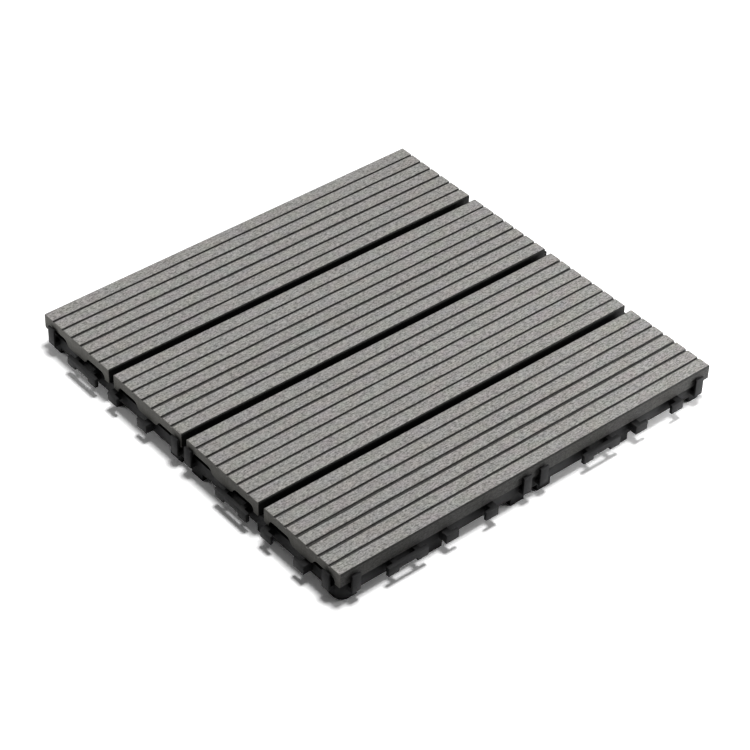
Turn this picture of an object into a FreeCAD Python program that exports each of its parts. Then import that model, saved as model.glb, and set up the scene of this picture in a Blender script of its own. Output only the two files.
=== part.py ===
"""Interlocking deck tile: four ribbed composite boards screwed to one moulded plastic grid.

The tile lies flat. X runs along the boards, Y runs across them, and Z points up.
The origin is on the ground, under the middle of the tile. All lengths are in millimetres.
"""
import FreeCAD, Part

import math
import os

import Sketcher

doc = FreeCAD.newDocument("DeckTile")
sheet = doc.addObject("Spreadsheet::Sheet", "Sizes")

# The tile as a whole
tile_side = 300.0               # over the boards, both ways
board_gap = 5.2                 # between two boards, and two tiles
board_count = 4

# One board: flat on top with grooves, two shallow arches and a middle lobe underneath
board_thickness = 11.0
top_radius = 0.8
heel_chamfer = 0.8
leg_width = 5.0
leg_ramp = 3.5
arch_rise = 4.6
lobe_ramp = 7.2
lobe_width = 14.5
groove_count = 6
groove_width = 1.6
groove_depth = 1.1
groove_lip = 0.25
groove_draft = 0.15             # each side, narrower at the root

# The grid's outer wall and its ribs
seat_height = 14.5              # ground to the underside of the boards
wall_inset = 1.5                # boards overhang the wall by this much
wall_thickness = 2.0
wall_bottom = 5.5
wall_corner = 6.0
ribs_per_board = 3
half_ribs = 6                   # from the middle one outwards, each way
rib_thickness = 1.8
rib_bottom = 8.0
main_rib_rows = 2               # in each half, on every second rib
main_rib_thickness = 2.2

# Feet
corner_foot = 12.5
corner_foot_edge = 1.2
edge_foot_width = 11.0
edge_foot_depth = 9.5
edge_foot_wall = 2.0
edge_foot_near = 10.75          # from the middle of a side
cup_foot_side = 9.0             # at the ground
cup_foot_taper = 8.0            # degrees a side, wider towards the ribs
cup_foot_height = 8.0
cup_foot_wall = 1.8
cup_hollow_depth = 4.0

# Edge connectors: a T-shaped tongue on one tile drops between two hooks on the next
connector_near = 53.0           # from the middle of a side
connector_far = 102.5
connector_bottom = 8.0
hook_spread = 15.6              # middle of the pair to a hook's stem
hook_stem = 4.9
hook_lip_reach = 4.85           # stem towards the middle of the pair
hook_lip_depth = 2.1
joint_play = 0.4                # between a tongue and its hooks
tongue_window = 7.0             # half width
tongue_bar = 4.0                # height of the bar over the notch

# Upright spacer tabs beside the boards
tab_width = 6.5
tab_thickness = 1.4
tab_root_height = 3.5
tab_height = 7.0                # above the boards' underside
tab_near = 6.75                 # from the middle of a side
tab_corner = 10.4               # from the tile's edge

# Screws, driven up through plates in the grid into the lobe of each board
screw_radius = 1.8
screw_length = 11.0             # under the head
head_radius = 3.6
head_height = 2.2
recess_reach = 2.0
recess_width = 0.9
recess_depth = 1.3
screw_plate = 3.0               # plastic clamped under the board
hole_play = 0.3                 # round the shank in the grid
pilot_play = 0.05               # round the shank in the board
pilot_spare = 0.3               # past the screw's tip


class Size:
    """A length or count with the sheet formula that it comes from."""

    def __init__(self, value, formula):
        self.value = value
        self.formula = formula

    def combined(self, value, left, sign, right):
        return Size(value, "(" + formula_of(left) + " " + sign + " " + formula_of(right) + ")")

    def __add__(self, other):
        return self.combined(self.value + value_of(other), self, "+", other)

    def __radd__(self, other):
        return self.combined(other + self.value, other, "+", self)

    def __sub__(self, other):
        return self.combined(self.value - value_of(other), self, "-", other)

    def __rsub__(self, other):
        return self.combined(other - self.value, other, "-", self)

    def __mul__(self, other):
        return self.combined(self.value * value_of(other), self, "*", other)

    def __rmul__(self, other):
        return self.combined(other * self.value, other, "*", self)

    def __truediv__(self, other):
        return self.combined(self.value / value_of(other), self, "/", other)

    def __neg__(self):
        return Size(-self.value, "(0 - " + self.formula + ")")


def value_of(size):
    return size.value if isinstance(size, Size) else float(size)


def formula_of(size):
    return size.formula if isinstance(size, Size) else str(size)


def driving(row, alias, number):
    """Writes one driving dimension to the sheet and returns it as a Size."""
    sheet.set("A%d" % row, alias)
    sheet.set("B%d" % row, str(number))
    sheet.setAlias("B%d" % row, alias)
    sheet.recompute()
    return Size(float(getattr(sheet, alias)), "Sizes." + alias)


# Each number named above becomes a cell of the sheet. From here on its name stands for the
# cell's value together with the formula that leads to it.
numbers = [name for name, value in globals().items() if isinstance(value, (int, float))]
for row, name in enumerate(numbers, start=1):
    globals()[name] = driving(row, name, globals()[name])
doc.recompute()

ROUND_SIDES = 8

# Sizes that follow from the driving ones
board_pitch = (tile_side + board_gap) / board_count
board_width = board_pitch - board_gap
first_board = -(tile_side - board_width) / 2
groove_pitch = board_width / (groove_count + 1)
tile_edge = tile_side / 2
wall_face = tile_edge - wall_inset
rib_pitch = board_pitch / ribs_per_board
outer_main_rib = rib_pitch * (main_rib_rows * 2 - 1)
hook_reach = tile_edge + board_gap
head_back = tile_edge + hook_lip_depth + joint_play
head_half_width = hook_spread - joint_play
neck_half_width = hook_spread - hook_lip_reach - joint_play
tab_face = tile_edge + board_gap / 2
screw_seat = seat_height - screw_plate


def origin_feature(body, role):
    """Finds a plane or axis of the body's own origin."""
    for feature in body.Origin.OriginFeatures:
        if feature.Role == role:
            return feature
    raise ValueError("no origin feature " + role)


def new_body(label):
    body = doc.addObject("PartDesign::Body", label)
    body.Label = label
    body.AllowCompound = True
    return body


def sketch_on(body, name, role, offset):
    """A sketch on one of the body's origin planes, raised along its normal."""
    sketch = body.newObject("Sketcher::SketchObject", name)
    sketch.AttachmentSupport = [(origin_feature(body, role), "")]
    sketch.MapMode = "FlatFace"
    lift = FreeCAD.Vector(0, 0, value_of(offset))
    sketch.AttachmentOffset = FreeCAD.Placement(lift, FreeCAD.Rotation())
    if isinstance(offset, Size):
        sketch.setExpression(".AttachmentOffset.Base.z", offset.formula)
    return sketch


def bind_datum(sketch, constraint, size):
    index = sketch.addConstraint(constraint)
    sketch.setExpression("Constraints[%d]" % index, formula_of(size))


def pin_point(sketch, edge, end, x, y):
    """Ties the end of one edge to its two coordinates."""
    for kind, axis, size in (("DistanceX", -2, x), ("DistanceY", -1, y)):
        if isinstance(size, Size):
            datum = Sketcher.Constraint(kind, -1, 1, edge, end, size.value)
            bind_datum(sketch, datum, size)
        else:
            sketch.addConstraint(Sketcher.Constraint("PointOnObject", edge, end, axis))


def arc_between(start, end, radius, turn):
    """The minor arc from start to end that turns left or right; it runs anticlockwise."""
    chord = end - start
    half = chord.Length / 2
    side = 1 if turn == "left" else -1
    normal = FreeCAD.Vector(-chord.y, chord.x, 0).normalize()
    centre = start + chord / 2 + normal * (side * math.sqrt(max(radius ** 2 - half ** 2, 0.0)))
    first, last = (start, end) if turn == "left" else (end, start)
    first_angle = math.atan2(first.y - centre.y, first.x - centre.x)
    last_angle = math.atan2(last.y - centre.y, last.x - centre.x)
    if last_angle < first_angle:
        last_angle += 2 * math.pi
    circle = Part.Circle(centre, FreeCAD.Vector(0, 0, 1), radius)
    return Part.ArcOfCircle(circle, first_angle, last_angle)


def outline(sketch, corners):
    """Draws a closed outline through corners (x, y), or (x, y, radius, turn) before an arc."""
    points = [FreeCAD.Vector(value_of(corner[0]), value_of(corner[1]), 0) for corner in corners]
    edges = []
    for index, corner in enumerate(corners):
        start = points[index]
        end = points[(index + 1) % len(points)]
        if len(corner) == 2:
            edges.append((sketch.addGeometry(Part.LineSegment(start, end)), 1, 2))
            continue
        radius, turn = corner[2], corner[3]
        edge = sketch.addGeometry(arc_between(start, end, value_of(radius), turn))
        edges.append((edge, 1, 2) if turn == "left" else (edge, 2, 1))
    for index, (edge, start_end, far_end) in enumerate(edges):
        following, following_start, _ = edges[(index + 1) % len(edges)]
        joined = Sketcher.Constraint("Coincident", edge, far_end, following, following_start)
        sketch.addConstraint(joined)
        pin_point(sketch, edge, start_end, corners[index][0], corners[index][1])
    for corner, (edge, _, _) in zip(corners, edges):
        if len(corner) == 4:
            bind_datum(sketch, Sketcher.Constraint("Radius", edge, value_of(corner[2])), corner[2])


def rectangle(sketch, left, bottom, right, top):
    outline(sketch, [(left, bottom), (right, bottom), (right, top), (left, top)])


def rounded_square(sketch, half, radius):
    flat = half - radius
    outline(sketch, [(-flat, -half), (flat, -half, radius, "left"),
                     (half, -flat), (half, flat, radius, "left"),
                     (flat, half), (-flat, half, radius, "left"),
                     (-half, flat), (-half, -flat, radius, "left")])


def many_sided(sketch, x, y, radius):
    """A round outline with a few flats, which keeps the small repeated holes light."""
    step = 2 * math.pi / ROUND_SIDES
    outline(sketch, [(x + radius * math.cos(step * side), y + radius * math.sin(step * side))
                     for side in range(ROUND_SIDES)])


def bind(feature, name, size):
    """Sets a property of a feature and ties it to the sheet."""
    setattr(feature, name, value_of(size))
    feature.setExpression(name, formula_of(size))


def pad(body, sketch, name, length, midplane=False):
    feature = body.newObject("PartDesign::Pad", name)
    feature.Profile = sketch
    bind(feature, "Length", length)
    if midplane:
        feature.SideType = "Symmetric"
    return feature


def pocket(body, sketch, name, depth, upwards=False, midplane=False):
    """Cuts a sketch's outline out of the body and checks that something was cut."""
    doc.recompute()
    before = body.Shape.Volume
    feature = body.newObject("PartDesign::Pocket", name)
    feature.Profile = sketch
    bind(feature, "Length", depth)
    feature.Reversed = upwards
    if midplane:
        feature.SideType = "Symmetric"
    doc.recompute()
    if body.Shape.Volume > before - 0.01:
        raise ValueError(name + " cuts nothing")
    return feature


def linear_step(body, name, role, step, count):
    """A straight pattern with a fixed step along an axis of the body's origin."""
    feature = body.newObject("PartDesign::LinearPattern", name)
    feature.Direction = (origin_feature(body, role), [""])
    feature.Mode = "Spacing"
    bind(feature, "Offset", step)
    feature.Occurrences = int(value_of(count))
    if isinstance(count, Size):
        feature.setExpression("Occurrences", count.formula)
    return feature


def polar_step(body, name, angle, count):
    feature = body.newObject("PartDesign::PolarPattern", name)
    feature.Axis = (origin_feature(body, "Z_Axis"), [""])
    feature.Angle = angle
    feature.Occurrences = count
    return feature


def mirror_step(body, name, role):
    feature = body.newObject("PartDesign::Mirrored", name)
    feature.MirrorPlane = (origin_feature(body, role), [""])
    return feature


def screw_steps(body, name):
    """Takes what is made at the first screw to the others, at the boards' pitch both ways."""
    return [linear_step(body, name + "_step_x", "X_Axis", board_pitch, board_count),
            linear_step(body, name + "_step_y", "Y_Axis", board_pitch, board_count)]


def repeat(body, name, originals, steps):
    """Repeats features by several patterns, one after another."""
    feature = body.newObject("PartDesign::MultiTransform", name)
    feature.Originals = originals
    feature.Transformations = steps
    body.Tip = feature
    doc.recompute()
    return feature


def ease_edges(body, base, kind, name, size, wanted):
    """Fillets or chamfers each edge of the base feature that the test called wanted accepts."""
    doc.recompute()
    names = []
    for index, edge in enumerate(base.Shape.Edges, start=1):
        if wanted(edge):
            names.append("Edge%d" % index)
    if not names:
        raise ValueError(name + " finds no edge")
    feature = body.newObject("PartDesign::" + kind, name)
    feature.Base = (base, names)
    bind(feature, "Radius" if kind == "Fillet" else "Size", size)
    doc.recompute()
    return feature


def level(edge, height):
    """True where both ends of an edge lie at a height."""
    return all(abs(vertex.Z - height) < 0.01 for vertex in edge.Vertexes)


def lengthwise_at(edge, across, height):
    """True where an edge runs along a board at a distance from its middle and a height."""
    box = edge.BoundBox
    beside = abs(abs(box.YMin) - across) < 0.01 and abs(box.YMax - box.YMin) < 0.01
    return beside and level(edge, height)


# A board's cross-section, from the left heel along the underside to the right and back
def board_profile(sketch):
    half = board_width / 2
    leg = half - leg_width
    roof_outer = leg - leg_ramp
    roof_inner = lobe_width / 2 + lobe_ramp
    ramp_middle = lobe_width / 2 + lobe_ramp / 2
    lobe = lobe_width / 2
    leg_radius = (leg_ramp * leg_ramp + arch_rise * arch_rise) / (arch_rise * 2)
    lobe_radius = (lobe_ramp * lobe_ramp + arch_rise * arch_rise) / (arch_rise * 4)
    outline(sketch, [
        (-half, 0), (-leg, 0, leg_radius, "right"),
        (-roof_outer, arch_rise), (-roof_inner, arch_rise, lobe_radius, "right"),
        (-ramp_middle, arch_rise / 2, lobe_radius, "left"),
        (-lobe, 0), (lobe, 0, lobe_radius, "left"),
        (ramp_middle, arch_rise / 2, lobe_radius, "right"),
        (roof_inner, arch_rise), (roof_outer, arch_rise, leg_radius, "right"),
        (leg, 0), (half, 0), (half, board_thickness), (-half, board_thickness)])


# One groove with bevelled lips and drafted sides, over the first dividing line
def groove_profile(sketch):
    middle = groove_pitch - board_width / 2
    side = groove_width / 2
    root = board_thickness - groove_depth
    lip = board_thickness - groove_lip
    above = board_thickness + groove_lip
    wide = side + groove_lip
    narrow = side - groove_draft
    outline(sketch, [
        (middle - wide, board_thickness), (middle - side, lip), (middle - narrow, root),
        (middle + narrow, root), (middle + side, lip), (middle + wide, board_thickness),
        (middle + wide, above), (middle - wide, above)])


def make_board(number):
    body = new_body("board_%d" % number)
    profile = sketch_on(body, "board_%d_profile" % number, "YZ_Plane", 0)
    board_profile(profile)
    plank = pad(body, profile, "board_%d_plank" % number, tile_side, midplane=True)

    doc.recompute()
    edge_distance = value_of(board_width) / 2
    top = value_of(board_thickness)
    upper = ease_edges(body, plank, "Fillet", "board_%d_upper_edges" % number, top_radius,
                       lambda edge: lengthwise_at(edge, edge_distance, top))
    ease_edges(body, upper, "Chamfer", "board_%d_heels" % number, heel_chamfer,
               lambda edge: lengthwise_at(edge, edge_distance, 0))

    groove_sketch = sketch_on(body, "board_%d_groove_profile" % number, "YZ_Plane", 0)
    groove_profile(groove_sketch)
    groove = pocket(body, groove_sketch, "board_%d_groove" % number, tile_side, midplane=True)
    across = linear_step(body, "board_%d_groove_step" % number, "Y_Axis", groove_pitch, groove_count)
    repeat(body, "board_%d_grooves" % number, [groove], [across])

    pilot_sketch = sketch_on(body, "board_%d_pilot_centres" % number, "XY_Plane", 0)
    for row in range(int(board_count.value)):
        many_sided(pilot_sketch, first_board + board_pitch * row, 0, screw_radius + pilot_play)
    depth = screw_length - screw_plate + pilot_spare
    pocket(body, pilot_sketch, "board_%d_pilots" % number, depth, upwards=True)

    place = first_board + board_pitch * (number - 1)
    body.Placement = FreeCAD.Placement(
        FreeCAD.Vector(0, place.value, seat_height.value), FreeCAD.Rotation())
    body.setExpression(".Placement.Base.y", place.formula)
    body.setExpression(".Placement.Base.z", seat_height.formula)
    return body


# The outer wall, open above and below
def add_wall(body):
    sketch = sketch_on(body, "wall_outline", "XY_Plane", wall_bottom)
    rounded_square(sketch, wall_face, wall_corner)
    rounded_square(sketch, wall_face - wall_thickness, wall_corner - wall_thickness)
    pad(body, sketch, "wall", seat_height - wall_bottom)


# A solid block under each corner, rounded like the wall outside
def add_corner_feet(body):
    inner = wall_face - corner_foot
    bend = wall_face - wall_corner
    sketch = sketch_on(body, "corner_foot_outline", "XY_Plane", 0)
    outline(sketch, [(-bend, -wall_face), (-inner, -wall_face), (-inner, -inner),
                     (-wall_face, -inner), (-wall_face, -bend, wall_corner, "left")])
    foot = pad(body, sketch, "corner_foot", seat_height)
    feet = repeat(body, "corner_feet", [foot], [polar_step(body, "corner_foot_turn", 360, 4)])
    ease_edges(body, feet, "Chamfer", "corner_foot_soles", corner_foot_edge,
               lambda edge: level(edge, 0))


# Feet of a U-shaped section set in the outer wall, four to a side
def add_edge_feet(body):
    half = edge_foot_width / 2
    inner = wall_face - edge_foot_depth
    web = wall_face - edge_foot_wall
    sketch = sketch_on(body, "edge_foot_outline", "XY_Plane", 0)
    for distance in (edge_foot_near, outer_main_rib):
        for middle in (distance, -distance):
            left, right = middle - half, middle + half
            outline(sketch, [(left, -wall_face), (right, -wall_face), (right, -inner),
                             (right - edge_foot_wall, -inner), (right - edge_foot_wall, -web),
                             (left + edge_foot_wall, -web), (left + edge_foot_wall, -inner),
                             (left, -inner)])
    feet = pad(body, sketch, "edge_foot", seat_height)
    repeat(body, "edge_feet", [feet], [polar_step(body, "edge_foot_turn", 360, 4)])


# Tapered square cups under the crossings of the inner main ribs, hollow from below
def add_cup_feet(body):
    place = -outer_main_rib
    outer = cup_foot_side / 2
    inner = outer - cup_foot_wall
    foot_sketch = sketch_on(body, "cup_foot_outline", "XY_Plane", 0)
    rectangle(foot_sketch, place - outer, place - outer, place + outer, place + outer)
    foot = pad(body, foot_sketch, "cup_foot", cup_foot_height)
    bind(foot, "TaperAngle", cup_foot_taper)
    hollow_sketch = sketch_on(body, "cup_hollow_outline", "XY_Plane", 0)
    rectangle(hollow_sketch, place - inner, place - inner, place + inner, place + inner)
    hollow = pocket(body, hollow_sketch, "cup_hollow", cup_hollow_depth, upwards=True)
    steps = [linear_step(body, "cup_step_x", "X_Axis", rib_pitch * 2, main_rib_rows * 2),
             linear_step(body, "cup_step_y", "Y_Axis", rib_pitch * 2, main_rib_rows * 2)]
    repeat(body, "cup_feet", [foot, hollow], steps)


# Plates across the cells under the middle of each board, each with a hole for a screw
def add_screw_plates(body):
    half = rib_pitch / 2
    sketch = sketch_on(body, "plate_outline", "XY_Plane", screw_seat)
    rectangle(sketch, first_board - half, first_board - half, first_board + half, first_board + half)
    plate = pad(body, sketch, "plate", screw_plate)
    hole_sketch = sketch_on(body, "screw_hole_outline", "XY_Plane", screw_seat)
    many_sided(hole_sketch, first_board, first_board, screw_radius + hole_play)
    hole = pocket(body, hole_sketch, "screw_hole", screw_plate, upwards=True)
    repeat(body, "screw_plates", [plate, hole], screw_steps(body, "plate"))


# The side at minus Y, repeated round the tile: T-shaped tongues with a window and a notch
def add_tongues(body):
    root = wall_face - wall_thickness / 2
    sketch = sketch_on(body, "tongue_outline", "XY_Plane", connector_bottom)
    notch_sketch = sketch_on(body, "tongue_notch_outline", "XY_Plane", connector_bottom)
    for middle in (-connector_far, connector_near):
        outline(sketch, [
            (middle - neck_half_width, -root), (middle - neck_half_width, -head_back),
            (middle - head_half_width, -head_back), (middle - head_half_width, -hook_reach),
            (middle + head_half_width, -hook_reach), (middle + head_half_width, -head_back),
            (middle + neck_half_width, -head_back), (middle + neck_half_width, -root)])
        rectangle(sketch, middle - tongue_window, -head_back, middle + tongue_window, -wall_face)
        rectangle(notch_sketch, middle - tongue_window, -hook_reach - joint_play,
                  middle + tongue_window, -head_back)
    tongue = pad(body, sketch, "tongue", seat_height - connector_bottom)
    notch_height = seat_height - connector_bottom - tongue_bar
    notch = pocket(body, notch_sketch, "tongue_notch", notch_height, upwards=True)
    turn = polar_step(body, "tongue_turn", 360, 4)
    repeat(body, "tongues", [tongue, notch], [turn])


# Pairs of hooks that the next tile's tongues drop between
def add_hooks(body):
    root = wall_face - wall_thickness / 2
    lip_back = hook_reach - hook_lip_depth
    sketch = sketch_on(body, "hook_outline", "XY_Plane", connector_bottom)
    for middle in (-connector_near, connector_far):
        for side in (-1, 1):
            inside = middle + hook_spread * side
            outside = middle + (hook_spread + hook_stem) * side
            tip = middle + (hook_spread - hook_lip_reach) * side
            outline(sketch, [(outside, -root), (outside, -hook_reach), (tip, -hook_reach),
                             (tip, -lip_back), (inside, -lip_back), (inside, -root)])
    hooks = pad(body, sketch, "hook", seat_height - connector_bottom)
    repeat(body, "hooks", [hooks], [polar_step(body, "hook_turn", 360, 4)])


# Upright tabs beside the boards, which keep two tiles one board gap apart
def add_tabs(body):
    outer_tab = tile_edge - tab_corner
    root = wall_face - wall_thickness / 2
    behind = tab_face - tab_thickness
    shoulder = connector_bottom + tab_root_height
    top = seat_height + tab_height
    sketch = sketch_on(body, "tab_profile", "YZ_Plane", -outer_tab)
    outline(sketch, [(-root, connector_bottom), (-tab_face, connector_bottom), (-tab_face, top),
                     (-behind, top), (-behind, shoulder), (-root, shoulder)])
    tab = pad(body, sketch, "tab", tab_width, midplane=True)
    steps = [linear_step(body, "tab_step", "X_Axis", outer_tab - tab_near, 2),
             mirror_step(body, "tab_mirror", "YZ_Plane"),
             polar_step(body, "tab_turn", 360, 4)]
    repeat(body, "tabs", [tab], steps)


# One stage of the grid: a body of its own, made by the functions that are given
def make_stage(label, *makers):
    body = new_body(label)
    for maker in makers:
        maker(body)
    return body


# Ribs that run one way: thin ones on every line, and thick deep ones over the rows of feet
def make_grid_ribs(label, step_axis):
    body = new_body(label)
    end = wall_face - wall_thickness / 2
    layers = (("thin", rib_bottom, rib_thickness / 2, rib_pitch * (half_ribs - 1), rib_pitch,
               half_ribs * 2 - 1),
              ("main", wall_bottom, main_rib_thickness / 2, outer_main_rib, rib_pitch * 2,
               main_rib_rows * 2))
    for kind, bottom, half, first, step, count in layers:
        name = label + "_" + kind
        sketch = sketch_on(body, name + "_outline", "XY_Plane", bottom)
        if step_axis == "X_Axis":
            rectangle(sketch, -first - half, -end, -first + half, end)
        else:
            rectangle(sketch, -end, -first - half, end, -first + half)
        rib = pad(body, sketch, name + "_rib", seat_height - bottom)
        repeat(body, name + "_ribs", [rib], [linear_step(body, name + "_step", step_axis, step, count)])
    return body


def make_base_grid():
    grid = doc.addObject("Part::MultiFuse", "base_grid")
    grid.Label = "base_grid"
    grid.Shapes = [make_stage("grid_wall", add_wall, add_corner_feet),
                   make_stage("grid_edge_feet", add_edge_feet),
                   make_stage("grid_cup_feet", add_cup_feet),
                   make_stage("grid_screw_plates", add_screw_plates),
                   make_stage("grid_tongues", add_tongues),
                   make_stage("grid_hooks", add_hooks),
                   make_stage("grid_tabs", add_tabs),
                   make_grid_ribs("ribs_along_y", "X_Axis"),
                   make_grid_ribs("ribs_along_x", "Y_Axis")]
    grid.Refine = True
    doc.recompute()
    return grid


# Pan-head screws, head down, sixteen of one kind as separate solids of one piece
def make_board_screws():
    body = new_body("board_screws")
    underside = screw_seat - head_height
    head_sketch = sketch_on(body, "head_outline", "XY_Plane", underside)
    many_sided(head_sketch, first_board, first_board, head_radius)
    head = pad(body, head_sketch, "head", head_height)
    shank_sketch = sketch_on(body, "shank_outline", "XY_Plane", screw_seat)
    many_sided(shank_sketch, first_board, first_board, screw_radius)
    shank = pad(body, shank_sketch, "shank", screw_length)

    recess_sketch = sketch_on(body, "recess_outline", "XY_Plane", underside)
    half = recess_width / 2
    cross = [(half, -recess_reach), (half, -half), (recess_reach, -half), (recess_reach, half),
             (half, half), (half, recess_reach), (-half, recess_reach), (-half, half),
             (-recess_reach, half), (-recess_reach, -half), (-half, -half), (-half, -recess_reach)]
    outline(recess_sketch, [(first_board + x, first_board + y) for x, y in cross])
    recess = pocket(body, recess_sketch, "recess", recess_depth, upwards=True)
    repeat(body, "screws", [head, shank, recess], screw_steps(body, "screw"))
    return body


pieces = [make_base_grid()]
for board_number in range(1, int(board_count.value) + 1):
    pieces.append(make_board(board_number))
pieces.append(make_board_screws())
doc.recompute()

for item in doc.Objects:
    if "Invalid" in item.State or "Error" in item.State:
        raise ValueError("failed object: " + item.Name + " " + str(item.State))
for piece in pieces:
    if piece.Shape.isNull() or not piece.Shape.isValid():
        raise ValueError("bad shape: " + piece.Label)
if len(pieces[0].Shape.Solids) != 1:
    raise ValueError("the grid is not one solid")

os.makedirs("parts", exist_ok=True)
for piece in pieces:
    piece.Shape.exportStep("parts/" + piece.Label + ".step")
    box = piece.Shape.BoundBox
    print("%-13s solids %2d faces %4d volume %9.1f  x %8.2f %8.2f  y %8.2f %8.2f  z %6.2f %6.2f" % (
        piece.Label, len(piece.Shape.Solids), len(piece.Shape.Faces), piece.Shape.Volume,
        box.XMin, box.XMax, box.YMin, box.YMax, box.ZMin, box.ZMax))
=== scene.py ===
"""Looks of the interlocking deck tile: composite boards, moulded grid, screws, light and camera.

Everything is in metres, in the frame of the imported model. X runs along the boards, Y across
them, and Z points up from the ground.
"""
import math
import random
from contextlib import contextmanager
from typing import NamedTuple

import bmesh
import bpy
from mathutils import Matrix, Vector


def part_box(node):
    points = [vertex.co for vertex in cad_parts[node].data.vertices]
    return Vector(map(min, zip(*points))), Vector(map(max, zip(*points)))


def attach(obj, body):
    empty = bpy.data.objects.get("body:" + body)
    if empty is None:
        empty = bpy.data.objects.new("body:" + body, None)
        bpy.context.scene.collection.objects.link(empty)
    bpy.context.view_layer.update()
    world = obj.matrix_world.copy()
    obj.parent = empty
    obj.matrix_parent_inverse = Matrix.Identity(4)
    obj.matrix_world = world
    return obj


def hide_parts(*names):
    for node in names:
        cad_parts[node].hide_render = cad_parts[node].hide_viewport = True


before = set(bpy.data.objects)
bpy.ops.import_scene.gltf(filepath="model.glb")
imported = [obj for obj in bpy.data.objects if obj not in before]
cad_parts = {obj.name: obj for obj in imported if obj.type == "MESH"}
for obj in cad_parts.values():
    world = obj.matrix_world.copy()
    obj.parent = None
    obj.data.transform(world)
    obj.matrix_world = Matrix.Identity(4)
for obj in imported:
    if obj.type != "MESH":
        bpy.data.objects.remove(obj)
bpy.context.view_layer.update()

MM = 0.001


# Node trees of the materials

# Sockets of a colour mix, whose names other kinds of mix share
MIX_FIRST, MIX_SECOND, MIX_RESULT = 6, 7, 2

# Rays with which the painted shade in corners and seams is found
PAINTED_SHADE_SAMPLES = 8


class ShaderTree:
    """One material's nodes, made by short calls that hand sockets on."""

    def __init__(self, name):
        self.material = bpy.data.materials.new(name)
        self.material.use_nodes = True
        self.nodes = self.material.node_tree.nodes
        self.links = self.material.node_tree.links
        self.nodes.clear()
        self.place = self.node("TexCoord").outputs["Object"]

    def node(self, kind, inputs=None, **properties):
        made = self.nodes.new("ShaderNode" + kind)
        for key, value in properties.items():
            setattr(made, key, value)
        for key, value in (inputs or {}).items():
            self.feed(made.inputs[key], value)
        return made

    def feed(self, socket, value):
        """Links a socket to another node, or sets its own value."""
        if isinstance(value, bpy.types.NodeSocket):
            self.links.new(value, socket)
        elif socket.type == "VECTOR":
            socket.default_value = value[:3]
        else:
            socket.default_value = value

    def maths(self, operation, *values):
        return self.node("Math", dict(enumerate(values)), operation=operation).outputs[0]

    def noise(self, per_metre, detail=2.0, roughness=0.5, output="Fac"):
        """Noise with its own number of features to the metre along each axis."""
        scaled = self.node("Mapping", {"Vector": self.place, "Scale": per_metre})
        inputs = {"Vector": scaled.outputs[0], "Scale": 1.0, "Detail": detail,
                  "Roughness": roughness}
        return self.node("TexNoise", inputs).outputs[output]

    def spread(self, value, low, high, to_low=0.0, to_high=1.0):
        """A value from low to high, spread out from to_low to to_high and held there beyond."""
        inputs = {"Value": value, "From Min": low, "From Max": high,
                  "To Min": to_low, "To Max": to_high}
        return self.node("MapRange", inputs).outputs[0]

    def mottle(self, *layers):
        """A shade about 0 out of noises, each with its reach about its middle and its weight."""
        shades = [self.spread(noise, 0.5 - reach, 0.5 + reach, -weight, weight)
                  for noise, reach, weight in layers]
        total = shades[0]
        for shade in shades[1:]:
            total = self.maths("ADD", total, shade)
        return total

    def attribute(self, name):
        return self.node("Attribute", attribute_name=name).outputs["Fac"]

    def mix(self, share, first, second):
        inputs = {"Factor": share, MIX_FIRST: first, MIX_SECOND: second}
        return self.node("Mix", inputs, data_type="RGBA").outputs[MIX_RESULT]

    def brighten(self, colour, factor):
        """Multiplies a colour by a number near 1."""
        inputs = {"Vector": colour, "Scale": factor}
        return self.node("VectorMath", inputs, operation="SCALE").outputs["Vector"]

    def bump(self, height, distance):
        inputs = {"Height": height, "Strength": 1.0, "Distance": distance}
        return self.node("Bump", inputs).outputs[0]

    def painted_corner_shade(self, reach, power):
        """Near 1 on open faces and low in corners and seams: painted shade, by which colours are
        darkened.
        """
        occlusion = self.node("AmbientOcclusion", {"Distance": reach}, samples=PAINTED_SHADE_SAMPLES)
        return self.maths("POWER", occlusion.outputs["AO"], power)

    def height(self):
        return self.node("SeparateXYZ", {"Vector": self.place}).outputs["Z"]

    def end_in(self, kind, inputs):
        """Ends the tree in one shader and gives the finished material."""
        shader = self.node(kind, inputs)
        out = self.node("OutputMaterial")
        self.links.new(shader.outputs[0], out.inputs["Surface"])
        return self.material

    def end_in_principled(self, **inputs):
        """Ends the tree in the principled shader; underscores stand for spaces."""
        named = {key.replace("_", " "): value for key, value in inputs.items()}
        return self.end_in("BsdfPrincipled", named)


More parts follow.
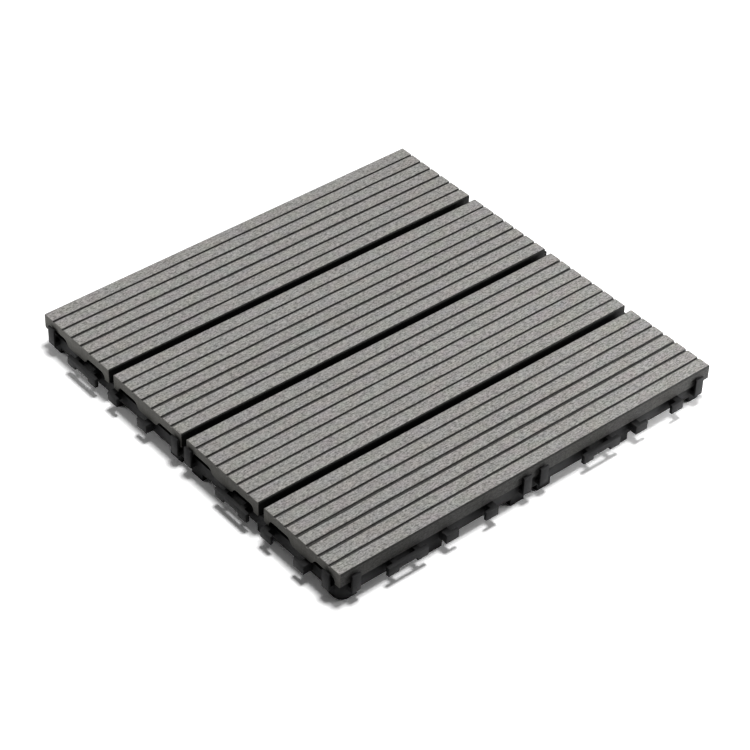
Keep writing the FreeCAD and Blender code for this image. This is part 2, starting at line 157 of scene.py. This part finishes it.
def composite_material():
    """Wood-plastic: brushed pale on the lands, with a dark extruded skin where no brush reached.

    The dark skin on the sides in the gaps is painted shade, and the colour is darkened in gaps,
    grooves and corners as painted shade.
    """
    tree = ShaderTree("board_composite")
    sanded = tree.attribute("sanded")
    streaks = tree.noise((60.0, 1400.0, 1400.0), detail=3.0, roughness=0.6)
    fibres = tree.noise((330.0, 1100.0, 1100.0), detail=0.5)
    grit = tree.noise((1000.0, 1150.0, 1150.0), detail=0.5)
    clouds = tree.noise((45.0, 150.0, 150.0), detail=2.0)
    bands = tree.noise((3.0, 95.0, 20.0), detail=1.0)
    tint = tree.noise((70.0, 110.0, 60.0), detail=1.0, output="Color")

    shade = tree.mottle((streaks, 0.25, 0.09), (fibres, 0.2, 0.27), (grit, 0.2, 0.29),
                        (clouds, 0.2, 0.02), (bands, 0.2, 0.025))
    shade = tree.maths("MULTIPLY", shade, tree.spread(sanded, 0.0, 0.5, 0.55, 1.0))
    factor = tree.maths("ADD", 1.0, shade)
    # Painted shade: the colour is darkened in the gaps between boards, in grooves and in corners
    factor = tree.maths("MULTIPLY", factor, tree.painted_corner_shade(reach=6.0 * MM, power=0.8))

    brushed_pale = (0.314, 0.305, 0.291, 1)
    # The bare skin; its darkness on the sides in the gaps is painted shade
    dark_skin_and_gap_shade = (0.020, 0.020, 0.019, 1)
    tint_share = 0.035
    pale = tree.mix(tint_share, brushed_pale, tint)
    colour = tree.brighten(tree.mix(sanded, dark_skin_and_gap_shade, pale), factor)
    relief = tree.maths("ADD", tree.maths("MULTIPLY", streaks, 0.6),
                        tree.maths("MULTIPLY", grit, 0.5))
    return tree.end_in_principled(Base_Color=colour, Specular_IOR_Level=0.12,
                                  Roughness=tree.spread(sanded, 0.0, 1.0, 0.56, 0.72),
                                  Normal=tree.bump(relief, 0.08 * MM))


# Heights above the ground between which the sawn ends are painted darker towards the bottom, as
# shade
SAWN_FOOT = 14.5 * MM
SAWN_SHADE_TOP = 21.5 * MM


def sawn_material():
    """The saw-cut ends of the boards, with fine upright blade marks and wood flecks, painted darker
    towards the bottom and in corners as shade.
    """
    tree = ShaderTree("board_sawn_end")
    marks = tree.noise((200.0, 1300.0, 120.0), detail=2.0)
    flecks = tree.noise((1200.0, 1200.0, 1200.0), detail=3.0, roughness=0.65)
    clouds = tree.noise((100.0, 90.0, 160.0), detail=2.0)
    shade = tree.mottle((marks, 0.2, 0.10), (flecks, 0.25, 0.20), (clouds, 0.2, 0.08))
    painted_low_shade = tree.spread(tree.height(), SAWN_FOOT, SAWN_SHADE_TOP, 0.62, 1.0)
    factor = tree.maths("MULTIPLY", tree.maths("ADD", 1.0, shade), painted_low_shade)
    # Painted shade in corners and seams
    factor = tree.maths("MULTIPLY", factor, tree.painted_corner_shade(reach=4.0 * MM, power=0.7))
    fresh_cut = (0.228, 0.223, 0.208, 1)
    relief = tree.maths("ADD", tree.maths("MULTIPLY", marks, 0.5), flecks)
    return tree.end_in_principled(Base_Color=tree.brighten(fresh_cut, factor),
                                  Roughness=0.85, Specular_IOR_Level=0.10,
                                  Normal=tree.bump(relief, 0.15 * MM))


def plastic_material():
    """Moulded black polypropylene: satin, faintly dusty and unevenly glossy, painted darker in
    recesses and seams as shade.
    """
    tree = ShaderTree("grid_plastic")
    grain = tree.noise((1400.0, 1400.0, 1400.0), detail=2.0)
    flow = tree.noise((40.0, 40.0, 90.0), detail=3.0)
    dust = tree.spread(tree.noise((160.0, 160.0, 160.0), detail=4.0, roughness=0.7), 0.45, 0.75)
    black = (0.034, 0.0341, 0.0350, 1)
    dusty = (0.075, 0.073, 0.069, 1)
    colour = tree.mix(tree.maths("MULTIPLY", dust, 0.25), black, dusty)
    # Painted shade: strongly darkened in recesses, seams and under the boards
    colour = tree.brighten(colour, tree.painted_corner_shade(reach=8.0 * MM, power=2.4))
    relief = tree.maths("ADD", tree.maths("MULTIPLY", grain, 0.4), flow)
    return tree.end_in_principled(Base_Color=colour, Specular_IOR_Level=0.06,
                                  Roughness=tree.spread(flow, 0.3, 0.7, 0.44, 0.58),
                                  Normal=tree.bump(relief, 0.06 * MM))


def steel_material():
    """Zinc-plated screws with fine turning marks and small dull spots."""
    tree = ShaderTree("screw_steel")
    spots = tree.noise((900.0, 900.0, 900.0), detail=4.0, roughness=0.6)
    marks = tree.noise((300.0, 300.0, 5200.0), detail=1.0)
    bright = (0.62, 0.61, 0.58, 1)
    dull = (0.36, 0.35, 0.33, 1)
    colour = tree.mix(tree.spread(spots, 0.45, 0.7), bright, dull)
    return tree.end_in_principled(Base_Color=colour, Metallic=1.0,
                                  Roughness=tree.spread(spots, 0.3, 0.7, 0.26, 0.5),
                                  Normal=tree.bump(marks, 0.03 * MM))


COMPOSITE = composite_material()
SAWN = sawn_material()
PLASTIC = plastic_material()
STEEL = steel_material()


# Helpers for meshes and pieces

# Vertices nearer than this are one
WELD = 0.002 * MM

# How far outside a face each cut starts
CUT_START = 1.0 * MM

# Degrees that an edge turns before it shows as an edge
BOARD_SHARP = 28
GRID_SHARP = 40
SCREW_SHARP = 40


@contextmanager
def editing(mesh):
    """Opens a mesh for changes and writes them back."""
    work = bmesh.new()
    work.from_mesh(mesh)
    yield work
    work.to_mesh(mesh)
    work.free()


def mesh_from(name, work):
    """Turns a bmesh into a mesh of its own."""
    mesh = bpy.data.meshes.new(name)
    work.to_mesh(mesh)
    work.free()
    return mesh


def mark_sharp(mesh, degrees):
    """Shades a mesh smooth but keeps each edge sharp that turns more than an angle."""
    limit = math.radians(degrees)
    with editing(mesh) as work:
        for face in work.faces:
            face.smooth = True
        for edge in work.edges:
            edge.smooth = len(edge.link_faces) == 2 and edge.calc_face_angle(math.pi) < limit


def add_object(name, data):
    """Puts a new object into the scene."""
    made = bpy.data.objects.new(name, data)
    bpy.context.scene.collection.objects.link(made)
    return made


def place_piece(name, mesh, node):
    """Adds a mesh as the piece that stands for a CAD node."""
    piece = add_object(name, mesh)
    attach(piece, "root")
    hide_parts(node)
    return piece


def apply_modifiers(piece):
    """Turns a piece's modifiers into its mesh."""
    bpy.context.view_layer.update()
    shaped = piece.evaluated_get(bpy.context.evaluated_depsgraph_get())
    mesh = bpy.data.meshes.new_from_object(shaped)
    piece.modifiers.clear()
    piece.data = mesh


def cut_away(piece, work):
    """Takes the closed shapes of a bmesh out of a piece."""
    cutter = add_object("cutter", mesh_from("cutter", work))
    cut = piece.modifiers.new("cut", "BOOLEAN")
    cut.object = cutter
    cut.solver = "EXACT"
    apply_modifiers(piece)
    bpy.data.objects.remove(cutter)


# The boards

# One board's section, as in part.py
HALF_WIDTH = 35.55 * MM
THICKNESS = 11.0 * MM
TOP_RADIUS = 0.8 * MM
HEEL = 0.8 * MM
END_BEVEL = 0.25 * MM
BOARD_PITCH = 76.3 * MM

# Its two arches underneath: their height, and places as distances from its middle line
ARCH_RISE = 4.6 * MM
LEG_INNER = 30.55 * MM
ROOF_OUTER = 27.05 * MM
ROOF_INNER = 14.45 * MM
LOBE_HALF = 7.25 * MM

# Its grooves on top: LIP rounds the mouth and ROOT the floor, the walls lean in by WALL_LEAN,
# and the flat of the land starts LAND_START outside them
GROOVES = 6
GROOVE_PITCH = 2 * HALF_WIDTH / (GROOVES + 1)
GROOVE_HALF = 0.8 * MM
GROOVE_DEPTH = 1.1 * MM
WALL_LEAN = 0.15 * MM
LIP = 0.3 * MM
LAND_START = 1.6 * LIP
ROOT = 0.3 * MM

# Points on the round stretches of the section, and stations along the board
TOP_POINTS = 7
LIP_POINTS = 5
ROOT_POINTS = 4
ARCH_POINTS = 8
STATIONS = 150

# Heights of the points up a side
SIDE_HEIGHTS = (1.5 * HEEL, 0.4 * THICKNESS, 0.7 * THICKNESS, 0.86 * THICKNESS)

# Depth by which the outermost rings are drawn in, which bevels the sawn ends
END_INSET = 0.8 * END_BEVEL

# The screws stand on these lines, along the boards and across them
SCREW_ROWS = 4
SCREW_LINES = [(row - (SCREW_ROWS - 1) / 2) * BOARD_PITCH for row in range(SCREW_ROWS)]

# Pilot holes of the screws
PILOT_RADIUS = 1.85 * MM
PILOT_DEPTH = 8.3 * MM
PILOT_SIDES = 24

# How far a surface was brushed, from 0 for bare skin to 1 for the lands. On the sides it is painted
# light
# # and shade: outer sides are painted lighter than the bare, dark sides in the gaps, and their top
# roundings darker
PAINTED_LIT_SIDE = 0.14
PAINTED_DARK_EDGE = 0.03
GROOVE_ROOT = 0.22

# How grooves wander along a board: lengths of their waves in metres, drift to the side, shares
# by which width and depth swell, and the loss of width to the metre
DRIFT_WAVES = (0.31, 0.13, 0.047)
SWELL_WAVES = (0.21, 0.08, 0.029)
DRIFT = 0.16 * MM
WIDTH_SWELL = 0.10
DEPTH_SWELL = 0.06
WIDTH_LOSS = 0.35

# Wider grooves are a little deeper, and their depth swells this far ahead of their width
DEPTH_POWER = 0.6
DEPTH_LEAD = 0.05

# How many grooves away the widening fades, and how much any groove's width strays
WIDENING_REACH = 1.3
WIDTH_STRAY = 0.04

# Where each board's random draws start, counted up from board to board
BOARD_SEED = 17


class Wear(NamedTuple):
    """What brushing left of one board: its grooves' widths, as shares of the drawn one, and the
    painted light on its outer sides.

    Grooves are counted from 0 at the front, and the widest one may lie between two of them.
    """
    width: float
    widening: float
    widest_groove: float
    front_side: float = 0.0
    back_side: float = 0.0


WEAR = {
    "board_1": Wear(width=1.06, widening=0.45, widest_groove=2.3, front_side=PAINTED_LIT_SIDE),
    "board_2": Wear(width=1.02, widening=0.18, widest_groove=4.4),
    "board_3": Wear(width=1.05, widening=0.28, widest_groove=1.7),
    "board_4": Wear(width=1.05, widening=0.28, widest_groove=2.3, back_side=PAINTED_LIT_SIDE),
}


def arc(centre, radius, first, last, count):
    """Points on an arc between two angles in degrees, ends included."""
    angles = [math.radians(first + (last - first) * step / (count - 1)) for step in range(count)]
    return [(centre[0] + radius * math.cos(angle), centre[1] + radius * math.sin(angle))
            for angle in angles]


def circle_through(start, end, radius, side):
    """Points from start to end on a circle; side is 1 to bulge left of the way and -1 right."""
    start, end = Vector(start), Vector(end)
    way = end - start
    normal = Vector((-way.y, way.x)).normalized()
    reach = math.sqrt(max(radius ** 2 - (way.length / 2) ** 2, 0.0))
    centre = (start + end) / 2 - normal * reach * side
    first = math.atan2(start.y - centre.y, start.x - centre.x)
    turn = math.atan2(end.y - centre.y, end.x - centre.x) - first
    turn = (turn + math.pi) % (2 * math.pi) - math.pi
    return arc(centre, radius, math.degrees(first), math.degrees(first + turn), ARCH_POINTS)


def underside():
    """The two arches and the middle lobe, from the left heel to the right one."""
    middle = (ROOF_INNER + LOBE_HALF) / 2
    leg_radius = ((LEG_INNER - ROOF_OUTER) ** 2 + ARCH_RISE ** 2) / (ARCH_RISE * 2)
    lobe_radius = ((ROOF_INNER - LOBE_HALF) ** 2 + ARCH_RISE ** 2) / (ARCH_RISE * 4)
    half = [(-HALF_WIDTH + HEEL, 0.0)]
    half += circle_through((-LEG_INNER, 0.0), (-ROOF_OUTER, ARCH_RISE), leg_radius, 1)
    half += [(-(ROOF_OUTER + ROOF_INNER) / 2, ARCH_RISE)]
    half += circle_through((-ROOF_INNER, ARCH_RISE), (-middle, ARCH_RISE / 2), lobe_radius, 1)
    half += circle_through((-middle, ARCH_RISE / 2), (-LOBE_HALF, 0.0), lobe_radius, -1)[1:]
    half += [(-LOBE_HALF / 2, 0.0)]
    return half + [(0.0, 0.0)] + [(-y, z) for y, z in reversed(half)]


def groove_section():
    """One groove seen from its middle, left to right: (across, down, brushed)."""
    points = [(-GROOVE_HALF - LAND_START, 0.0, 1.0)]
    for y, z in arc((-GROOVE_HALF - LIP, -LIP), LIP, 90, 0, LIP_POINTS):
        points.append((y, z, 1.0 + (1.0 - GROOVE_ROOT) * z / LIP))
    narrow = GROOVE_HALF - WALL_LEAN
    for y, z in arc((-narrow + ROOT, -GROOVE_DEPTH + ROOT), ROOT, 180, 270, ROOT_POINTS):
        points.append((y, z, GROOVE_ROOT))
    mirrored = [(-y, z, brushed_and_painted) for y, z, brushed_and_painted in reversed(points)]
    return points + [(0.0, -GROOVE_DEPTH, GROOVE_ROOT)] + mirrored


def groove_middle(number):
    """Where a groove's middle line is drawn across the board."""
    return -HALF_WIDTH + GROOVE_PITCH * (number + 1)


def board_side(brushed_and_painted):
    """One side from its heel up and round onto the top. An outer side is painted lighter than a side
    in a gap, whose bare dark skin is painted shade.
    """
    # The top rounding of an outer side is painted darker than the side, as a dark line along its
    # edge
    edge = PAINTED_DARK_EDGE if brushed_and_painted else 0.0
    # The heel gets the bare skin: painted shade, a dark line under the board's edge
    points = [(HALF_WIDTH, HEEL, 0.0, None)]
    points += [(HALF_WIDTH, z, brushed_and_painted, None) for z in SIDE_HEIGHTS]
    corner = arc((HALF_WIDTH - TOP_RADIUS, THICKNESS - TOP_RADIUS), TOP_RADIUS, 0, 90, TOP_POINTS)
    return points + [(y, z, edge, None) for y, z in corner[:-1]] + [corner[-1] + (1.0, None)]


def board_section(wear):
    """A board's closed outline, anticlockwise: (across, up, brushed share and painted light,
    groove).

    The last one is None outside the grooves. In a groove it is the groove's number and the
    point's place across from the groove's middle and down from the top.
    """
    section = [(y, z, 0.0, None) for y, z in underside()]
    section += board_side(wear.back_side)
    for number in reversed(range(GROOVES)):
        middle = groove_middle(number)
        section.append((middle + GROOVE_PITCH / 2, THICKNESS, 1.0, None))
        section += [(middle - y, THICKNESS + z, brushed_and_painted, (number, -y, z))
                    for y, z, brushed_and_painted in groove_section()]
    section.append((-HALF_WIDTH + GROOVE_PITCH / 2, THICKNESS, 1.0, None))
    front = board_side(wear.front_side)
    return section + [(-y, z, brushed_and_painted, None) for y, z, brushed_and_painted, _ in reversed(front)]


class Wander:
    """A slow, repeatable drift along a board, about -1 to 1."""

    def __init__(self, rng, lengths):
        self.waves = [(2 * math.pi / length, rng.uniform(0, 2 * math.pi)) for length in lengths]

    def at(self, x):
        return sum(math.sin(x * rate + phase) for rate, phase in self.waves) / len(self.waves)


def groove_width(number, wear, rng):
    """How much wider than drawn a groove is: widest where the brush cut least."""
    away = (number - wear.widest_groove) / WIDENING_REACH
    stray = rng.uniform(-WIDTH_STRAY, WIDTH_STRAY)
    return wear.width + wear.widening * math.exp(-away * away) + stray


def ring_at(x, section, grooves):
    """The outline at one station, with each groove's own width, depth and drift."""
    ring = []
    for y, z, _, place in section:
        if place is not None:
            number, across, down = place
            drift, swell, width = grooves[number]
            wide = width * (1.0 + WIDTH_SWELL * swell.at(x)) * (1.0 - WIDTH_LOSS * x)
            deep = width ** DEPTH_POWER * (1.0 + DEPTH_SWELL * swell.at(x + DEPTH_LEAD))
            y = groove_middle(number) + DRIFT * drift.at(x) + across * wide
            z = THICKNESS + down * deep
        ring.append((y, z))
    return ring


def inset_ring(ring, depth):
    """A closed section moved inwards by a small depth; it runs anticlockwise."""
    moved = []
    for index, (y, z) in enumerate(ring):
        before, after = Vector(ring[index - 1]), Vector(ring[(index + 1) % len(ring)])
        way = (after - before).normalized()
        moved.append((y - way.y * depth, z + way.x * depth))
    return moved


def loft_faces(stations, count):
    """Faces between neighbouring rings of count points each, and one over each end."""
    faces = []
    for start in range(0, (stations - 1) * count, count):
        for index in range(count):
            after = (index + 1) % count
            faces.append((start + index, start + count + index,
                          start + count + after, start + after))
    last = (stations - 1) * count
    near_end = tuple(range(count))
    far_end = tuple(last + index for index in reversed(range(count)))
    return faces + [near_end, far_end]


def board_mesh(name, centre, seat, ends, rng, wear):
    """A board as a loft of its section, with grooves that drift a little along it."""
    section = board_section(wear)
    drifts = [Wander(rng, DRIFT_WAVES) for _ in range(GROOVES)]
    swells = [Wander(rng, SWELL_WAVES) for _ in range(GROOVES)]
    widths = [groove_width(number, wear, rng) for number in range(GROOVES)]
    grooves = list(zip(drifts, swells, widths))

    low, high = ends
    between = [low + (high - low) * step / STATIONS for step in range(1, STATIONS)]
    places = [low, low + END_BEVEL] + between + [high - END_BEVEL, high]
    vertices = []
    for x in places:
        ring = ring_at(x, section, grooves)
        if x in ends:
            ring = inset_ring(ring, END_INSET)
        vertices += [(x, centre + y, seat + z) for y, z in ring]
    sanded = [brushed_and_painted for _, _, brushed_and_painted, _ in section] * len(places)

    mesh = bpy.data.meshes.new(name)
    mesh.from_pydata(vertices, [], loft_faces(len(places), len(section)))
    mesh.materials.append(COMPOSITE)
    mesh.materials.append(SAWN)
    for polygon in mesh.polygons:
        is_sawn = abs(polygon.normal.x) > 0.5
        polygon.material_index = 1 if is_sawn else 0
    mesh.attributes.new("sanded", "FLOAT", "POINT").data.foreach_set("value", sanded)
    mark_sharp(mesh, BOARD_SHARP)
    return mesh


def drill_pilots(piece, centre, seat):
    """Cuts the pilot holes of the screws into a board's lobe."""
    work = bmesh.new()
    for x in SCREW_LINES:
        middle = Vector((x, centre, seat + (PILOT_DEPTH - CUT_START) / 2))
        bmesh.ops.create_cone(work, cap_ends=True, segments=PILOT_SIDES,
                              radius1=PILOT_RADIUS, radius2=PILOT_RADIUS,
                              depth=PILOT_DEPTH + CUT_START, matrix=Matrix.Translation(middle))
    cut_away(piece, work)
    mark_sharp(piece.data, BOARD_SHARP)


def add_boards():
    """Four boards, each worn in its own way."""
    for number, (node, wear) in enumerate(WEAR.items()):
        low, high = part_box(node)
        centre = (low.y + high.y) / 2
        rng = random.Random(BOARD_SEED + number)
        name = node + "_planed"
        mesh = board_mesh(name, centre, low.z, (low.x, high.x), rng, wear)
        drill_pilots(place_piece(name, mesh, node), centre, low.z)


add_boards()


# The grid

# Rounding of the moulded edges, and the degrees from which an edge gets it
GRID_EDGE = 0.35 * MM
GRID_EDGE_STEPS = 2
GRID_EDGE_ANGLE = 35

# Faces that turn less than this from each other are one flat face
GRID_FLAT_ANGLE = 1.0


def add_grid():
    """The moulded grid with rounded edges, held inside the box of its CAD node."""
    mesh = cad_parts["base_grid"].data.copy()
    with editing(mesh) as work:
        bmesh.ops.remove_doubles(work, verts=work.verts, dist=WELD)
        bmesh.ops.dissolve_limit(work, angle_limit=math.radians(GRID_FLAT_ANGLE),
                                 verts=work.verts, edges=work.edges)
    mesh.materials.clear()
    mesh.materials.append(PLASTIC)
    grid = place_piece("moulded_grid", mesh, "base_grid")
    rounding = grid.modifiers.new("edges", "BEVEL")
    rounding.width = GRID_EDGE
    rounding.segments = GRID_EDGE_STEPS
    rounding.limit_method = "ANGLE"
    rounding.angle_limit = math.radians(GRID_EDGE_ANGLE)
    apply_modifiers(grid)
    low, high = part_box("base_grid")
    for vertex in grid.data.vertices:
        vertex.co = [min(max(value, least), most)
                     for value, least, most in zip(vertex.co, low, high)]
    mark_sharp(grid.data, GRID_SHARP)


add_grid()


# The screws

# Pan-head screws, as in part.py, heads down under the grid's screw plates
SCREW_SEAT = 11.5 * MM
SCREW_LENGTH = 11.0 * MM
THREAD_RADIUS = 1.8 * MM
CORE_RADIUS = 1.25 * MM
THREAD_PITCH = 1.4 * MM
THREAD_RUN_IN = 0.8 * MM
TIP_LENGTH = 2.6 * MM

# Half the width of the thread's ridge, as a share of its pitch
CREST_SHARE = 0.24

# The head: its flat face has a ring at HEAD_RING, and its rim is rounded by CROWN_RADIUS
HEAD_RADIUS = 3.6 * MM
HEAD_HEIGHT = 2.2 * MM
HEAD_RING = 0.35 * HEAD_RADIUS
HEAD_BEVEL = 0.15 * MM
CROWN_RADIUS = 1.1 * MM
CROWN_POINTS = 7

# The driver's cross, whose floor is RECESS_TAPER as wide as its mouth
RECESS_REACH = 2.0 * MM
RECESS_HALF_WIDTH = 0.45 * MM
RECESS_DEPTH = 1.3 * MM
RECESS_TAPER = 0.75

# Points round a screw, and rows of them to each turn of its thread
AROUND = 24
ROWS_A_TURN = 8

# Where the random draws of the screws' angles start
SCREW_SEED = 5


def thread_radius(z, turn):
    """The thread's surface at a height above the seat, at an angle given in turns."""
    phase = (z / THREAD_PITCH - turn) % 1.0
    crest = max(0.0, 1.0 - abs(phase - 0.5) / CREST_SHARE) * min(1.0, z / THREAD_RUN_IN)
    taper = min(1.0, (SCREW_LENGTH - z) / TIP_LENGTH)
    return (CORE_RADIUS + (THREAD_RADIUS - CORE_RADIUS) * crest) * taper


def add_side(work, lower, upper, step):
    """One four-sided face between two rings of vertices."""
    after = (step + 1) % len(lower)
    work.faces.new((lower[step], lower[after], upper[after], upper[step]))


def screw_mesh():
    """One screw standing on its head, with its bearing face at height 0."""
    crown_centre = (HEAD_RADIUS - CROWN_RADIUS, CROWN_RADIUS - HEAD_HEIGHT)
    outline = [(HEAD_RING, -HEAD_HEIGHT)]
    outline += arc(crown_centre, CROWN_RADIUS, 270, 360, CROWN_POINTS)
    outline += [(HEAD_RADIUS, -HEAD_BEVEL), (HEAD_RADIUS - HEAD_BEVEL, 0.0)]
    rings = [[(radius, z)] * AROUND for radius, z in outline]
    rows = round(SCREW_LENGTH / THREAD_PITCH * ROWS_A_TURN)
    for row in range(rows):
        z = SCREW_LENGTH * row / rows
        rings.append([(thread_radius(z, step / AROUND), z) for step in range(AROUND)])

    work = bmesh.new()
    angles = [2 * math.pi * step / AROUND for step in range(AROUND)]
    made = [[work.verts.new((radius * math.cos(angle), radius * math.sin(angle), z))
             for (radius, z), angle in zip(ring, angles)] for ring in rings]
    bottom = work.verts.new((0, 0, -HEAD_HEIGHT))
    tip = work.verts.new((0, 0, SCREW_LENGTH))
    for step in range(AROUND):
        after = (step + 1) % AROUND
        work.faces.new((bottom, made[0][after], made[0][step]))
        work.faces.new((tip, made[-1][step], made[-1][after]))
        for lower, upper in zip(made, made[1:]):
            add_side(work, lower, upper, step)
    return mesh_from("screw", work)


def cross_recess():
    """The driver's cross in a head, a little narrower at its floor."""
    half, reach = RECESS_HALF_WIDTH, RECESS_REACH
    quarter = [(half, -reach), (half, -half), (reach, -half)]
    cross = [Matrix.Rotation(math.radians(90 * turn), 2) @ Vector(point)
             for turn in range(4) for point in quarter]
    levels = ((-HEAD_HEIGHT - CUT_START, 1.0),
              (-HEAD_HEIGHT, 1.0),
              (RECESS_DEPTH - HEAD_HEIGHT, RECESS_TAPER))
    work = bmesh.new()
    made = [[work.verts.new((x * scale, y * scale, z)) for x, y in cross] for z, scale in levels]
    work.faces.new(list(reversed(made[0])))
    work.faces.new(made[-1])
    for lower, upper in zip(made, made[1:]):
        for step in range(len(cross)):
            add_side(work, lower, upper, step)
    return work


def add_screws():
    """Sixteen screws, each driven to an angle of its own."""
    pattern = add_object("screw", screw_mesh())
    cut_away(pattern, cross_recess())
    with editing(pattern.data) as work:
        bmesh.ops.dissolve_degenerate(work, dist=WELD, edges=work.edges)
        bmesh.ops.triangulate(work, faces=work.faces)
    rng = random.Random(SCREW_SEED)
    work = bmesh.new()
    for x in SCREW_LINES:
        for y in SCREW_LINES:
            place = Matrix.Translation(Vector((x, y, SCREW_SEAT)))
            turn = Matrix.Rotation(rng.uniform(0, math.pi), 4, "Z")
            before = len(work.verts)
            work.from_mesh(pattern.data)
            work.verts.ensure_lookup_table()
            bmesh.ops.transform(work, matrix=place @ turn, verts=work.verts[before:])
    bpy.data.objects.remove(pattern)
    mesh = mesh_from("threaded_screws", work)
    mesh.materials.append(STEEL)
    mark_sharp(mesh, SCREW_SHARP)
    place_piece("threaded_screws", mesh, "board_screws")


add_screws()


# Floor, light and camera

WHITE = (1.0, 1.0, 1.0, 1.0)

# Half the side of the floor
FLOOR_HALF = 4.0

# The floor's colour for light that bounces off it
FLOOR_BOUNCE = (0.40, 0.40, 0.40, 1)

# The floor's tone as seen at its middle, and its rise with the square of the distance
FLOOR_SEEN = 1.30
FLOOR_RISE = 0.45

# Strength of the even light from all round
ROOM_LIGHT = 0.04

# The camera's angles in degrees, the point that it looks at and its distance from there
CAMERA_TURN = -40.906
CAMERA_RISE = 40.393
CAMERA_ROLL = 1.822
CAMERA_AIM = Vector((-2.458, -4.298, 0.0)) * MM
CAMERA_DISTANCE = 1.553885

# The lens in pixels of the photograph and the side of that in pixels; the sensor is in millimetres
LENS_PIXELS = 2428.434
PHOTO_SIDE = 750
SENSOR_WIDTH = 36.0


def floor_material():
    """A white table: its own tone for light that bounces, a brighter one for what the eye sees.

    The seen tone rises away from the middle as the lamps' light falls off, so that the table
    stays white to its far edge.
    """
    tree = ShaderTree("floor_white")
    path = tree.node("LightPath").outputs
    seen = tree.maths("MAXIMUM", path["Is Camera Ray"], path["Is Glossy Ray"])
    seen = tree.maths("MAXIMUM", seen, path["Is Transmission Ray"])
    away = tree.node("VectorMath", {"Vector": tree.place}, operation="LENGTH").outputs["Value"]
    area = tree.maths("MULTIPLY", away, away)
    tone = tree.brighten(WHITE, tree.maths("MULTIPLY_ADD", area, FLOOR_RISE, FLOOR_SEEN))
    return tree.end_in("BsdfDiffuse", {"Color": tree.mix(seen, FLOOR_BOUNCE, tone)})


def add_floor():
    """The table top that the tile lies on."""
    mesh = bpy.data.meshes.new("floor")
    corners = [(-FLOOR_HALF, -FLOOR_HALF, 0), (FLOOR_HALF, -FLOOR_HALF, 0),
               (FLOOR_HALF, FLOOR_HALF, 0), (-FLOOR_HALF, FLOOR_HALF, 0)]
    mesh.from_pydata(corners, [], [(0, 1, 2, 3)])
    mesh.materials.append(floor_material())
    add_object("floor", mesh)


def area_light(name, position, target, size, watts):
    """A rectangular lamp that faces a point; the camera doesn't see it."""
    lamp = bpy.data.lights.new(name, "AREA")
    lamp.shape = "RECTANGLE"
    lamp.size, lamp.size_y = size
    lamp.energy = watts
    holder = add_object(name, lamp)
    holder.location = position
    way = Vector(target) - Vector(position)
    holder.rotation_euler = way.to_track_quat("-Z", "Y").to_euler()
    holder.visible_camera = False


def add_lamps():
    """A small high lamp for the shadows, a wide soft one, and a low card to light each near side."""
    area_light("key", position=(0.30, -0.06, 2.84), target=(0, 0, 0),
               size=(0.60, 0.60), watts=62.0)
    area_light("overhead", position=(0.0, 0.0, 1.5), target=(0, 0, 0),
               size=(1.4, 1.4), watts=1.6)
    area_light("left_card", position=(-0.40, 0.40, 0.12), target=(-0.15, 0.13, 0.02),
               size=(0.4, 0.12), watts=0.70)
    area_light("right_card", position=(0.42, -0.36, 0.09), target=(0.14, -0.15, 0.02),
               size=(0.4, 0.12), watts=2.5)


def add_world():
    """White where the camera looks past the floor, and a faint even light on everything."""
    world = bpy.data.worlds.new("studio")
    world.use_nodes = True
    tree = world.node_tree
    tree.nodes.clear()

    def background(strength):
        made = tree.nodes.new("ShaderNodeBackground")
        made.inputs["Color"].default_value = WHITE
        made.inputs["Strength"].default_value = strength
        return made.outputs[0]

    path = tree.nodes.new("ShaderNodeLightPath")
    mixed = tree.nodes.new("ShaderNodeMixShader")
    out = tree.nodes.new("ShaderNodeOutputWorld")
    sources = (path.outputs["Is Camera Ray"], background(ROOM_LIGHT), background(1.0))
    for source, socket in zip(sources, mixed.inputs):
        tree.links.new(source, socket)
    tree.links.new(mixed.outputs[0], out.inputs["Surface"])
    bpy.context.scene.world = world


def add_camera():
    """The photograph's view: turned, raised and rolled as fitted to the tile's corners."""
    turn, rise, roll = map(math.radians, (CAMERA_TURN, CAMERA_RISE, CAMERA_ROLL))
    back = Vector((math.sin(turn) * math.cos(rise), -math.cos(turn) * math.cos(rise),
                   math.sin(rise)))
    level = Vector((math.cos(turn), math.sin(turn), 0.0))
    upright = back.cross(level)
    right = level * math.cos(roll) + upright * math.sin(roll)
    up = upright * math.cos(roll) - level * math.sin(roll)
    place = Matrix.Translation(CAMERA_AIM + back * CAMERA_DISTANCE)
    lens = bpy.data.cameras.new("camera")
    lens.sensor_width = SENSOR_WIDTH
    lens.lens = LENS_PIXELS / PHOTO_SIDE * SENSOR_WIDTH
    camera = add_object("camera", lens)
    camera.matrix_world = place @ Matrix((right, up, back)).transposed().to_4x4()
    bpy.context.scene.camera = camera


add_floor()
add_lamps()
add_world()
add_camera()
bpy.context.scene.view_settings.view_transform = "Standard"
